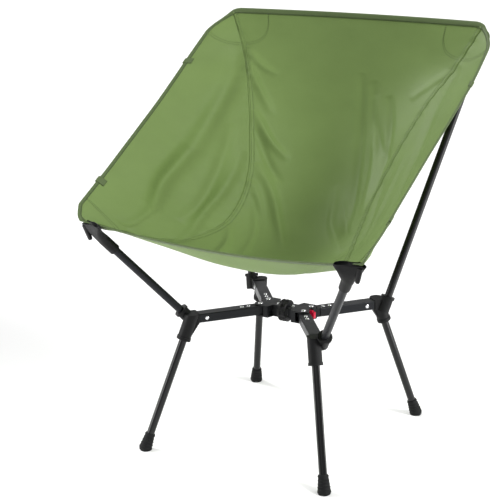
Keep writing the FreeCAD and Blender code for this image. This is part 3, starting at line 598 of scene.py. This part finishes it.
# ---- settings ----
class CAMPCHAIR_PG_cloth(bpy.types.PropertyGroup):
    """Colours and sewing of the sling."""
    colour: FloatVectorProperty(name="Cloth colour", description="Threads of the woven cloth, sRGB",
        subtype="COLOR_GAMMA", size=3, default=(0.434, 0.520, 0.298))
    # painted shade that the weave puts in the hollows between threads
    shade: FloatVectorProperty(name="Painted shade between threads", description="Darker colour between threads, sRGB",
        subtype="COLOR_GAMMA", size=3, default=(0.302, 0.376, 0.190))
    tape: FloatVectorProperty(name="Binding colour", description="Tape that binds the edges, sRGB",
        subtype="COLOR_GAMMA", size=3, default=(0.335, 0.398, 0.250))
    thread: FloatVectorProperty(name="Thread colour", description="Sewing thread, sRGB",
        subtype="COLOR_GAMMA", size=3, default=(0.175, 0.245, 0.115))
    hem_width: FloatProperty(name="Hem width", description="Binding at the top and front edges",
        unit="LENGTH", default=9 * MM)
    side_width: FloatProperty(name="Side binding width", description="Binding along the free edges",
        unit="LENGTH", default=5 * MM)
    seam_width: FloatProperty(name="Seam allowance", description="Felled band beside each seam",
        unit="LENGTH", default=7 * MM)


class CAMPCHAIR_PG_stage(bpy.types.PropertyGroup):
    """Camera and light."""
    lens: FloatProperty(name="Lens", description="Focal length on a 36 mm sensor, mm", default=98.2)
    azimuth: FloatProperty(name="Azimuth", description="Camera round the chair from its front",
        subtype="ANGLE", default=math.radians(29.84))
    elevation: FloatProperty(name="Elevation", description="Camera above the level",
        subtype="ANGLE", default=math.radians(16.245))
    roll: FloatProperty(name="Roll", description="Tilt of the camera about its view",
        subtype="ANGLE", default=math.radians(-0.428))
    distance: FloatProperty(name="Distance", description="Camera to the middle of the chair",
        unit="LENGTH", default=2.228)
    floor: FloatVectorProperty(name="Floor colour", description="Pale floor, sRGB",
        subtype="COLOR_GAMMA", size=3, default=(0.97, 0.97, 0.97))


# ---- operators ----
class CAMPCHAIR_OT_finishes(bpy.types.Operator):
    """Makes every finish and puts the frame's finishes on the CAD parts"""
    bl_idname = "camp_chair.finishes"
    bl_label = "Make the finishes"

    def execute(self, context):
        cloth_set = context.scene.camp_chair_cloth
        weave, grain = woven_group(), grain_group()
        cloth_material("sling_cloth", weave, cloth_set.colour, cloth_set.shade)
        # the tape's and the thread's painted shade between threads: their own colours darkened to 0.7 and 0.6
        cloth_material("binding_tape", weave, cloth_set.tape, tuple(c * 0.7 for c in cloth_set.tape),
                       threads=1100.0, strength=0.5, drift=0.35, sheen=0.08)
        cloth_material("sewing_thread", weave, cloth_set.thread, tuple(c * 0.6 for c in cloth_set.thread),
                       threads=2600.0, strength=0.4, drift=0.2, sheen=0.1)
        for slot, values in FRAME_FINISHES.items():
            hard_material(slot, grain, *values)
        finishes = {part["node"]: part["material_slot"] for part in frame["record"]["subparts"]}
        for node, part in frame["nodes"].items():
            slot = finishes[node]
            material = finish_of("sling_cloth" if slot == "fabric" else slot)
            if not part.material_slots:
                part.data.materials.append(material)
            for place in part.material_slots:
                place.material = material
        return {"FINISHED"}


def cloth_sheet(name, across, down):
    """A sheet of cloth over a grid of (across, down) places, just behind the sitter's face."""
    uv = np.stack(cut_place(across, down), -1)
    piece = new_piece(name, placed(across, down, CLOTH_LIFT), grid_faces(*across.shape), uv)
    walled(piece, CLOTH)
    return piece


def area_of(points):
    """Area of a grid of points: half the cross products of each cell's diagonals."""
    first = points[1:, 1:] - points[:-1, :-1]
    second = points[1:, :-1] - points[:-1, 1:]
    return float(np.linalg.norm(np.cross(first, second), axis=-1).sum() / 2)


class CAMPCHAIR_OT_panels(bpy.types.Operator):
    """Hangs the seat-and-back panel and the two side panels"""
    bl_idname = "camp_chair.panels"
    bl_label = "Hang the panels"

    def execute(self, context):
        material = finish_of("sling_cloth")
        rows = ended(230)
        places = panel_places(np.linspace(-0.998, 0.998, 171), rows)
        seat = cloth_sheet("seat_and_back", *places)
        hang(seat, material, "seat_panel")
        area_of(placed(*places, 0.0))
        for side, name in SIDES:
            across = side * (1.004 + 0.996 * np.sin(np.linspace(0, np.pi / 2, 56)))
            places = panel_places(across, rows)
            wing = cloth_sheet("side_panel_cloth_" + name, *places)
            hang(wing, material, "side_panel_" + name)
            area_of(placed(*places, 0.0))
        return {"FINISHED"}


def rim(across, down):
    """Points round the outline with their inward and sitter directions."""
    points, _, _, normal = cloth_frame(across, down)
    along = unit(np.roll(points, -1, 0) - np.roll(points, 1, 0))
    return points, np.cross(along, normal), normal


# Section of the binding: inset as a share of its width (a negative one x 8 mm), and lift in mm.
BINDING_SECTION = ((1.0, 0.30), (0.6, 0.42), (0.25, 0.46), (0.0, 0.30), (-0.07, -0.2), (-0.10, -0.6),
                   (-0.07, -1.0), (0.0, -1.5), (0.25, -1.68), (0.6, -1.64), (1.0, -1.5))
# Section of a seam's felled band: inset as a share of its width, and lift in mm.
FELL_SECTION = ((1.0, 0.05), (0.96, 0.35), (0.5, 0.48), (0.0, 0.46), (-0.16, 0.30), (-0.26, 0.0))


class CAMPCHAIR_OT_edges(bpy.types.Operator):
    """Binds the whole rim with a folded tape and sews it down"""
    bl_idname = "camp_chair.edges"
    bl_label = "Bind the edges"

    def execute(self, context):
        cloth_set = context.scene.camp_chair_cloth
        across, down = outline(190)
        points, inwards, normal = rim(across, down)
        ends = (down < 0.05) | (down > 0.93)
        share = smooth((1.45 - np.abs(across)) / 0.55) * ends
        share = np.convolve(np.concatenate([share[-6:], share, share[:6]]), np.ones(13) / 13, "valid")
        width = cloth_set.side_width + (cloth_set.hem_width - cloth_set.side_width) * share
        gaps = np.linalg.norm(points - np.roll(points, 1, 0), axis=-1)
        run = np.cumsum(gaps)
        pucker = 0.16 * MM * np.sin(run * 620) * np.sin(run * 97 + 1)
        rings, uv = [], []
        for step, (inset, lift) in enumerate(BINDING_SECTION):
            reach = np.where(inset > 0, inset * width, 0)
            a, d = stepped(across, down, inwards, reach)
            side = np.sign(lift + 0.6)
            spot = placed(np.clip(a, -2, 2), np.clip(d, 0, 1), lift * MM + side * pucker)
            rings.append(spot + inwards * np.where(inset < 0, inset * 8 * MM, 0)[..., None])
            uv.append(np.stack([run, np.full(run.shape, step * 1.8 * MM)], -1))
        rings, uv = np.stack(rings, 1), np.stack(uv, 1)
        tape = new_piece("edge_binding", rings, grid_faces(*rings.shape[:2], along=True), uv)
        walled(tape, 0.6 * MM)
        hang(tape, finish_of("binding_tape"))
        rows = []
        for lift, facing in ((0.85, 1), (-2.05, -1)):
            a, d = stepped(across, down, inwards, width - 1.4 * MM)
            line = placed(np.clip(a, -2, 2), np.clip(d, 0, 1), lift * MM)
            rows.append((line, normal * facing))
        sew("hem_stitching", rows, finish_of("sewing_thread"))
        return {"FINISHED"}


class CAMPCHAIR_OT_seams(bpy.types.Operator):
    """Fells both seams: a folded band beside the seam, sewn with two rows"""
    bl_idname = "camp_chair.seams"
    bl_label = "Fell the seams"

    def execute(self, context):
        width = context.scene.camp_chair_cloth.seam_width
        rows = []
        for side, name in SIDES:
            down = np.linspace(float(top_trim(np.array(1.0))) + 0.004, 0.996, 260)
            across = np.full(down.shape, float(side))
            _, sideways, _, _ = cloth_frame(across, down)
            way = unit(sideways) * -side
            spots, uv = [], []
            for share, lift in FELL_SECTION:
                a, d = stepped(across, down, way, share * width)
                ripple = 0.12 * MM * np.sin(down * 420) * np.sin(np.pi * np.clip(share, 0, 1))
                spots.append(placed(a, np.clip(d, 0, 1), lift * MM + ripple))
                uv.append(np.stack([np.full(down.shape, share * width), down * CLOTH_LENGTH], -1))
            spots, uv = np.stack(spots, 1), np.stack(uv, 1)
            if side < 0:
                spots, uv = spots[:, ::-1], uv[:, ::-1]
            band = new_piece("seam_fell_" + name, spots, grid_faces(*spots.shape[:2]), uv)
            walled(band, 0.5 * MM)
            hang(band, finish_of("sling_cloth"))
            for inset in (0.16, 0.84):
                a, d = stepped(across, down, way, inset * width)
                line, _, _, normal = cloth_frame(a, np.clip(d, 0, 1))
                rows.append((line + normal * 0.85 * MM, normal))
        sew("seam_stitching", rows, finish_of("sewing_thread"))
        return {"FINISHED"}


BACK_POCKET_EDGE = ((0.71, 0.0), (0.745, 0.05), (0.80, 0.078), (0.87, 0.093), (0.98, 0.100), (1.13, 0.096),
                    (1.32, 0.088), (1.55, 0.074), (1.80, 0.058), (1.97, 0.050))
FRONT_POCKET_EDGE = ((0.80, 1.0), (0.84, 0.985), (0.92, 0.966), (1.0, 0.952), (1.15, 0.946), (1.32, 0.942),
                     (1.55, 0.936), (1.76, 0.930), (1.97, 0.924))


POCKET_WALL = 0.8 * MM
POCKET_BELL = 0.019          # width of the bulge over a pole's end, m


def between(share, upper, lower, count):
    """(across, down) of a grid from an upper to a lower line, and each row's share of the way."""
    t = np.linspace(0, 1, count)[:, None]
    return share + 0 * t, upper + (lower - upper) * t, t


def pocket_edge(edge, across):
    """How far down a pocket's sewn edge lies at a place across, on a smooth line."""
    line = through(np.array([(a, d, 0) for a, d in edge]), np.linspace(0, 1, 120))
    return np.interp(across, line[:, 0], line[:, 1])


class CAMPCHAIR_OT_pockets(bpy.types.Operator):
    """Sews the four corner pockets on the cloth's outer side"""
    bl_idname = "camp_chair.pockets"
    bl_label = "Sew the pockets"

    def execute(self, context):
        rows = []
        for side, name in SIDES:
            self.back(side, name)
            self.front(side, name)
            for edge in (BACK_POCKET_EDGE, FRONT_POCKET_EDGE):
                across = np.concatenate([np.linspace(edge[0][0], 0.999, 60), np.linspace(1.001, 1.96, 60)])
                down = pocket_edge(edge, across)
                down = np.clip(down, top_trim(across) + 0.002, 1 - front_trim(across) - 0.002)
                for gap in (0.0, 0.006):
                    shifted = np.clip(down + (gap if edge is BACK_POCKET_EDGE else -gap), 0.001, 0.999)
                    line, _, _, normal = cloth_frame(side * across, shifted)
                    rows.append((line + normal * 0.1 * MM, normal))
        sew("pocket_stitching", rows, finish_of("sewing_thread"))
        return {"FINISHED"}

    def back(self, side, name):
        """The cloth's outer face, raised over the pole's end by a bell curve of the sideways distance
        from it; it meets the cloth along the sewn edge, apart from the mouth below the pole."""
        share = np.concatenate([np.linspace(0.715, 0.999, 26), 1 + 0.95 * np.linspace(0.002, 1, 34) ** 1.2])
        upper = top_trim(share) + 0.006
        lower = np.maximum(pocket_edge(BACK_POCKET_EDGE, share), upper + 0.002)
        across, down, _ = between(share, upper, lower, 34)
        top, way = metres(BACK_POLE_TOP), np.array(BACK_POLE_WAY)
        seam, _, _, inward = cloth_frame(np.ones(down.shape), down)
        to_pole = top - seam
        to_pole = to_pole - (to_pole @ way)[..., None] * way
        away = np.linalg.norm(to_pole, axis=-1)
        crest = (away + POLE_RADIUS + 2.2 * MM) * smooth(down / 0.03)
        sideways = cut_place(across, down)[0]
        middle = cut_place(np.full(down.shape, 1.04), down)[0]
        bell = np.exp(-((sideways - middle) / POCKET_BELL) ** 2)
        mouth = smooth((share - 0.88) / 0.07) * smooth((1.36 - share) / 0.12)
        sewn = np.maximum(mouth, smooth((lower - down) / 0.028))
        sewn = sewn * smooth((1.95 - share) / 0.25) * smooth((share - 0.715) / 0.06)
        out = unit(unit(to_pole) - inward)
        points, _, _, normal = cloth_frame(across, down)
        points = points - normal * OUTER_LIFT + out * (crest * bell * sewn)[..., None]
        self.patch("back_pocket", name, side, points, across, down, (0.11, 0.10))

    def front(self, side, name):
        """A low patch behind the corner, swollen in its middle by a sine of the way down."""
        share = np.concatenate([np.linspace(0.84, 0.999, 22), 1 + 0.94 * np.linspace(0.002, 1, 26)])
        lower = 1 - front_trim(share) - 0.006
        upper = np.minimum(pocket_edge(FRONT_POCKET_EDGE, share), lower - 0.002)
        across, down, t = between(share, upper, lower, 22)
        points, _, _, normal = cloth_frame(across, down)
        swell = 2.6 * MM * np.sin(np.pi * t) * smooth((share - 0.84) / 0.1) * smooth((1.94 - share) / 0.3)
        points = points - normal * (OUTER_LIFT + swell)[..., None]
        self.patch("front_pocket", name, side, points, across, down, (0.09, 0.07))

    def patch(self, kind, name, side, points, across, down, flat):
        """A pocket from a grid made for the +X side, mirrored for the other.  The argument flat is not used."""
        points = points * np.array([side, 1, 1])
        uv = np.stack(cut_place(across * side, down), -1)
        if side < 0:
            points, uv = points[:, ::-1], uv[:, ::-1]
        piece = new_piece(kind + "_cloth_" + name, points, grid_faces(*points.shape[:2]), uv)
        walled(piece, POCKET_WALL)
        hang(piece, finish_of("sling_cloth"), kind + "_" + name)


LOOP_LEG = 13 * MM           # from the cloth's edge to each end of a loop's tape
LOOP_LEG_SHARE, LOOP_BEND_SHARE = 0.35, 0.3      # of the tape's length
LOOP_PLACES = ((0.815, "front"), (0.155, "back"))


class CAMPCHAIR_OT_loops(bpy.types.Operator):
    """Sews the small folded loops on the free edges"""
    bl_idname = "camp_chair.loops"
    bl_label = "Sew the loops"

    def execute(self, context):
        for side, name in SIDES:
            for place, end in LOOP_PLACES:
                self.loop(side, place, name + "_" + end)
        return {"FINISHED"}

    def loop(self, side, place, name):
        """A tape 12 mm wide folded over the edge: two straight legs and a half turn across the edge,
        carried along it."""
        along = np.linspace(-6, 6, 9) * MM
        share = np.linspace(0, 1, 19)[None, :]
        length = float(np.linalg.norm(slopes(ground, np.array([2.0]), np.array([place]))[1]))
        down = place + along[:, None] / length + 0 * share
        edge, sideways, _, normal = cloth_frame(np.full(down.shape, 2.0 * side), down)
        out = unit(sideways) * side
        bent = np.clip(np.pi * (share - LOOP_LEG_SHARE) / LOOP_BEND_SHARE, 0, np.pi)
        second = LOOP_LEG_SHARE + LOOP_BEND_SHARE
        inset = np.where(share < LOOP_LEG_SHARE, LOOP_LEG * (1 - share / LOOP_LEG_SHARE), 0)
        inset = np.where(share > second, LOOP_LEG * (share - second) / LOOP_LEG_SHARE, inset)
        rise = np.cos(bent) * 1.9 * MM + CLOTH_LIFT
        reach = np.sin(bent) * 3.2 * MM
        points = edge + out * (reach - inset)[..., None] + normal * rise[..., None]
        if side > 0:
            points = points[:, ::-1]
        uv = np.stack([along[:, None] + 0 * share, 0.035 * share + 0 * down], -1)
        piece = new_piece("edge_loop_" + name, points, grid_faces(*points.shape[:2]), uv)
        walled(piece, 0.7 * MM)
        hang(piece, finish_of("binding_tape"))


def ring_loft(centres, across, depth, wides, deeps, squares, count):
    """Closed rings along a path: each is a superellipse |cos|^(2/n), |sin|^(2/n) of its half width
    and half depth, on its own two directions."""
    turn = np.linspace(0, 2 * np.pi, count, endpoint=False)
    c, s = np.cos(turn), np.sin(turn)
    power = 2 / np.asarray(squares)[:, None]
    x = np.sign(c) * np.abs(c) ** power * np.asarray(wides)[:, None]
    y = np.sign(s) * np.abs(s) ** power * np.asarray(deeps)[:, None]
    return centres[:, None] + across[:, None] * x[..., None] + depth[:, None] * y[..., None]


def closed_loft(rings):
    """Faces of stacked rings with both ends closed by fans; returns all points and faces."""
    rows, count = rings.shape[:2]
    points = np.concatenate([rings.reshape(-1, 3), [rings[0].mean(0)], [rings[-1].mean(0)]])
    faces = grid_faces(rows, count, around=True)
    first, last = rows * count, rows * count + 1
    base = (rows - 1) * count
    faces += [(first, (k + 1) % count, k) for k in range(count)]
    faces += [(last, base + k, base + (k + 1) % count) for k in range(count)]
    return points, faces


class CAMPCHAIR_OT_fans(bpy.types.Operator):
    """Makes the moulded fan-shaped ends of the front poles"""
    bl_idname = "camp_chair.fans"
    bl_label = "Mould the fan ends"

    def execute(self, context):
        for side, name in SIDES:
            self.fan(side, name)
        return {"FINISHED"}

    def fan(self, side, name):
        """A sleeve on the pole that widens into a fan: round rings that flatten as they climb, the
        last ones lifted to a blunt point above two thirds of the width; and a short peg beside it."""
        top, up = np.array(FRONT_POLE_TOP), np.array(FRONT_POLE_WAY)
        stations = np.array([top - up * 27, top - up * 26, top - up * 12, top, (223.0, -203.0, 372.0),
                             (226.0, -207.5, 380.0), (228.0, -210.5, 388.0), (228.4, -211.0, 389.3)])
        t = np.linspace(0, 1, 44)
        centres = through(stations, t)
        along = unit(np.gradient(centres, axis=0))
        spread = np.array([0.95, 0.18, 0.22])
        wide = unit(spread - along * (along @ spread)[:, None])
        depth = np.cross(along, wide)
        spots = np.linspace(0, 1, len(stations))
        wides = np.interp(t, spots, (8.2, 9.0, 9.2, 10.5, 15.5, 20.5, 24.5, 23.0))
        deeps = np.interp(t, spots, (8.2, 9.0, 9.0, 8.8, 7.2, 6.0, 5.2, 3.6))
        squares = np.interp(t, spots, (2, 2, 2, 2, 2.4, 2.9, 3.2, 3.2))
        rings = ring_loft(centres, wide, depth, wides, deeps, squares, 56)
        sideways = np.cos(np.linspace(0, 2 * np.pi, 56, endpoint=False))
        peak = 1 - np.abs(sideways - 0.45) / 1.45
        climb = smooth((t - 0.6) / 0.4)[:, None] * (peak * 9 - 6)
        rings = rings + np.array([0, 0, 1.0]) * climb[..., None]
        points, faces = closed_loft(rings)
        peg_line = np.linspace((243.5, -207.0, 384.0), (236.5, -202.5, 359.5), 12)
        peg_way = unit(peg_line[-1] - peg_line[0])
        peg_wide = unit(np.cross(peg_way, (0, 1, 0)))
        size = np.interp(np.linspace(0, 1, 12), (0, 0.9, 1), (4.4, 3.6, 2.8))
        peg = ring_loft(peg_line, np.tile(peg_wide, (12, 1)), np.tile(np.cross(peg_way, peg_wide), (12, 1)),
                        size, size * 0.9, np.full(12, 2.6), 24)
        peg_points, peg_faces = closed_loft(peg)
        faces += [tuple(i + len(points) for i in face) for face in peg_faces]
        points = metres(np.concatenate([points, peg_points])) * np.array([side, 1, 1])
        piece = new_piece("pole_fan_" + name, points, faces if side > 0 else [f[::-1] for f in faces])
        piece.data.materials.append(finish_of("moulded_black"))
        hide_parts("paddle_" + name)
        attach(piece, "arm_assembly_front_" + name)


LOOKED_AT = (0, 0, 0.33)     # the camera's target, m, before the frame's shift
LENS_SHIFT = (-0.06705, -0.00845)
FLOOR_HALF = 40.0


class CAMPCHAIR_OT_stage(bpy.types.Operator):
    """Sets the floor, the soft lights and the camera"""
    bl_idname = "camp_chair.stage"
    bl_label = "Set the stage"

    def execute(self, context):
        stage = context.scene.camp_chair_stage
        scene = context.scene
        scene.view_settings.view_transform = "Standard"
        world = bpy.data.worlds.new("Soft room")
        world.use_nodes = True
        world.node_tree.nodes["Background"].inputs["Color"].default_value = (1, 1, 1, 1)
        world.node_tree.nodes["Background"].inputs["Strength"].default_value = 0.55
        scene.world = world
        corners = np.array([(-1, -1, 0), (1, -1, 0), (1, 1, 0), (-1, 1, 0)]) * FLOOR_HALF
        floor = new_piece("floor", corners, [[0, 1, 2, 3]], smooth_faces=False)
        material, wiring, shader = start_material("pale_floor")
        wiring.fill(shader, Base_Color=linear(stage.floor), Roughness=0.45, Specular_IOR_Level=0.25)
        floor.data.materials.append(material)
        self.light("right", (0.84, -0.10, 0.60), 20, 2.5)
        self.light("left", (-0.78, 0.05, 0.60), 20, 2.3)
        self.light("front", (0.25, -0.80, 0.55), 40, 0.25)
        self.strip("right", (0.61, 0.18, 0.27))
        self.strip("left", (-0.47, -0.44, 0.27))
        self.camera(scene, stage)
        return {"FINISHED"}

    def light(self, name, way, spread, power):
        """A wide even light from a direction, as broad in the sky as the spread in degrees."""
        lamp = bpy.data.lights.new(name + "_light", "SUN")
        lamp.angle = math.radians(spread)
        lamp.energy = power
        holder = bpy.data.objects.new(name + "_light", lamp)
        back = unit(np.array(way))
        right = unit(np.cross([0, 0, 1.0], back))
        self.aim(holder, back * 3, right, np.cross(back, right), back)

    def strip(self, name, place):
        """A tall narrow light beside the chair, for the bright lines along the polished tubes."""
        lamp = bpy.data.lights.new(name + "_strip", "AREA")
        lamp.shape = "RECTANGLE"
        lamp.size, lamp.size_y = 0.16, 0.52
        lamp.energy = 1.6
        holder = bpy.data.objects.new(name + "_strip", lamp)
        back = unit(np.array([place[0], place[1], 0.0]))
        right = np.cross([0, 0, 1.0], back)
        self.aim(holder, place, right, np.array([0, 0, 1.0]), back)

    def camera(self, scene, stage):
        """The camera on a sphere round a point above the hub, rolled about its view."""
        a, e, r = stage.azimuth, stage.elevation, stage.roll
        back = np.array([math.sin(a) * math.cos(e), -math.cos(a) * math.cos(e), math.sin(e)])
        level = np.array([math.cos(a), math.sin(a), 0.0])
        upright = np.cross(back, level)
        right = level * math.cos(r) + upright * math.sin(r)
        up = upright * math.cos(r) - level * math.sin(r)
        lens = bpy.data.cameras.new("camera")
        lens.lens = stage.lens
        lens.sensor_width = 36.0
        lens.shift_x, lens.shift_y = LENS_SHIFT
        lens.clip_end = 100.0
        holder = bpy.data.objects.new("camera", lens)
        place = np.array(LOOKED_AT) + SHIFT + back * stage.distance
        self.aim(holder, place, right, up, back)
        scene.camera = holder

    def aim(self, holder, place, right, up, back):
        """Places a lamp or camera by its three axes."""
        turn = np.eye(4)
        turn[:3] = np.stack([right, up, back, place], 1)
        holder.matrix_world = Matrix(turn.tolist())
        bpy.context.scene.collection.objects.link(holder)


# ---- panel, registration, run ----
STEPS = (CAMPCHAIR_OT_finishes, CAMPCHAIR_OT_panels, CAMPCHAIR_OT_edges, CAMPCHAIR_OT_seams,
         CAMPCHAIR_OT_pockets, CAMPCHAIR_OT_loops, CAMPCHAIR_OT_fans, CAMPCHAIR_OT_stage)


class CAMPCHAIR_PT_panel(bpy.types.Panel):
    """The steps and their settings, in the order they are run."""
    bl_idname = "CAMPCHAIR_PT_panel"
    bl_label = "Camp chair"
    bl_space_type = "VIEW_3D"
    bl_region_type = "UI"
    bl_category = "Camp chair"

    def draw(self, context):
        for settings in (context.scene.camp_chair_cloth, context.scene.camp_chair_stage):
            for name in settings.__annotations__:
                self.layout.prop(settings, name)
        for step in STEPS:
            self.layout.operator(step.bl_idname)


CLASSES = (CAMPCHAIR_PG_cloth, CAMPCHAIR_PG_stage) + STEPS + (CAMPCHAIR_PT_panel,)


def register():
    for item in CLASSES:
        bpy.utils.register_class(item)
    bpy.types.Scene.camp_chair_cloth = PointerProperty(type=CAMPCHAIR_PG_cloth)
    bpy.types.Scene.camp_chair_stage = PointerProperty(type=CAMPCHAIR_PG_stage)


def unregister():
    del bpy.types.Scene.camp_chair_stage
    del bpy.types.Scene.camp_chair_cloth
    for item in reversed(CLASSES):
        bpy.utils.unregister_class(item)


def main():
    """Registers the add-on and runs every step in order."""
    register()
    for step in STEPS:
        group, name = step.bl_idname.split(".")
        getattr(getattr(bpy.ops, group), name)()


if __name__ == "__main__":
    main()
